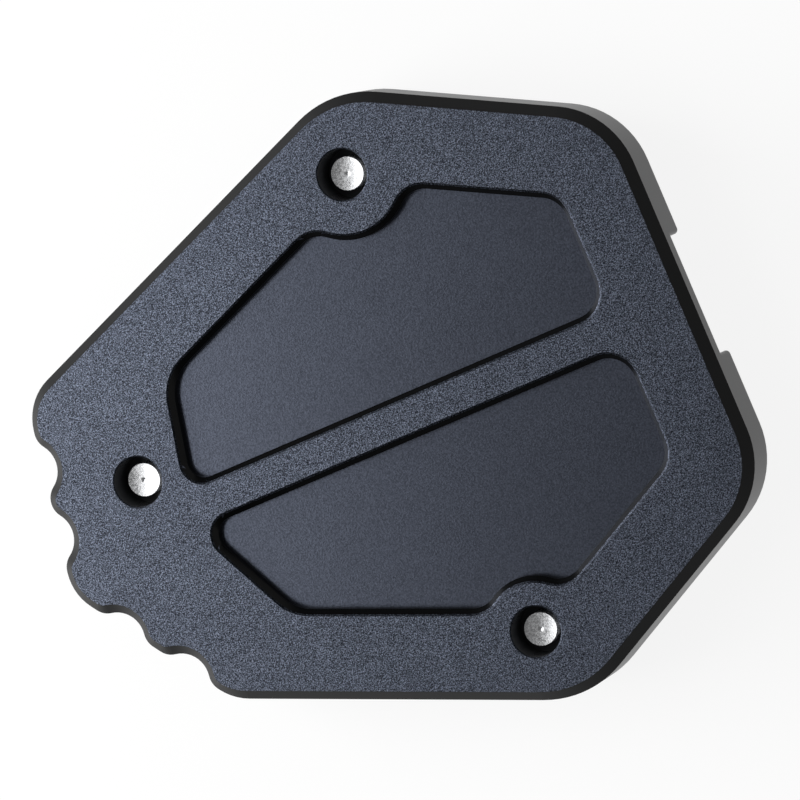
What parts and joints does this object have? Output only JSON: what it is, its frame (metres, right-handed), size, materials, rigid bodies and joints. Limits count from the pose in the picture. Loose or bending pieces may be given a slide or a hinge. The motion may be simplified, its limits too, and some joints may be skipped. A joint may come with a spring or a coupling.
{
  "type": "kickstand foot enlarger",
  "caption": "Wide plate that clamps around a kickstand's foot so that it doesn't sink into soft ground, with a recess and notch for the foot and leg and a screwed clamp plate.",
  "frame": {"origin": "under the middle of the bounding box, at the clamp plate's outer face, which the part lies on", "axes": "+Z out of the sole, which faces up; +X along the stand's leg, towards the edge with the leg notch; +Y across the leg, towards the side that the rear screw lies on"},
  "size_m": [0.1024, 0.0918, 0.015],
  "materials": {
    "black_anodised": "bead-blasted and anodised black",
    "screw_steel": "bright zinc-plated"
  },
  "bodies": {
    "root": {"base_block": "black_anodised", "clamp_plate": "black_anodised", "clamp_screw_upper": "screw_steel", "clamp_screw_lower": "screw_steel", "clamp_screw_rear": "screw_steel"}
  },
  "joints": []
}
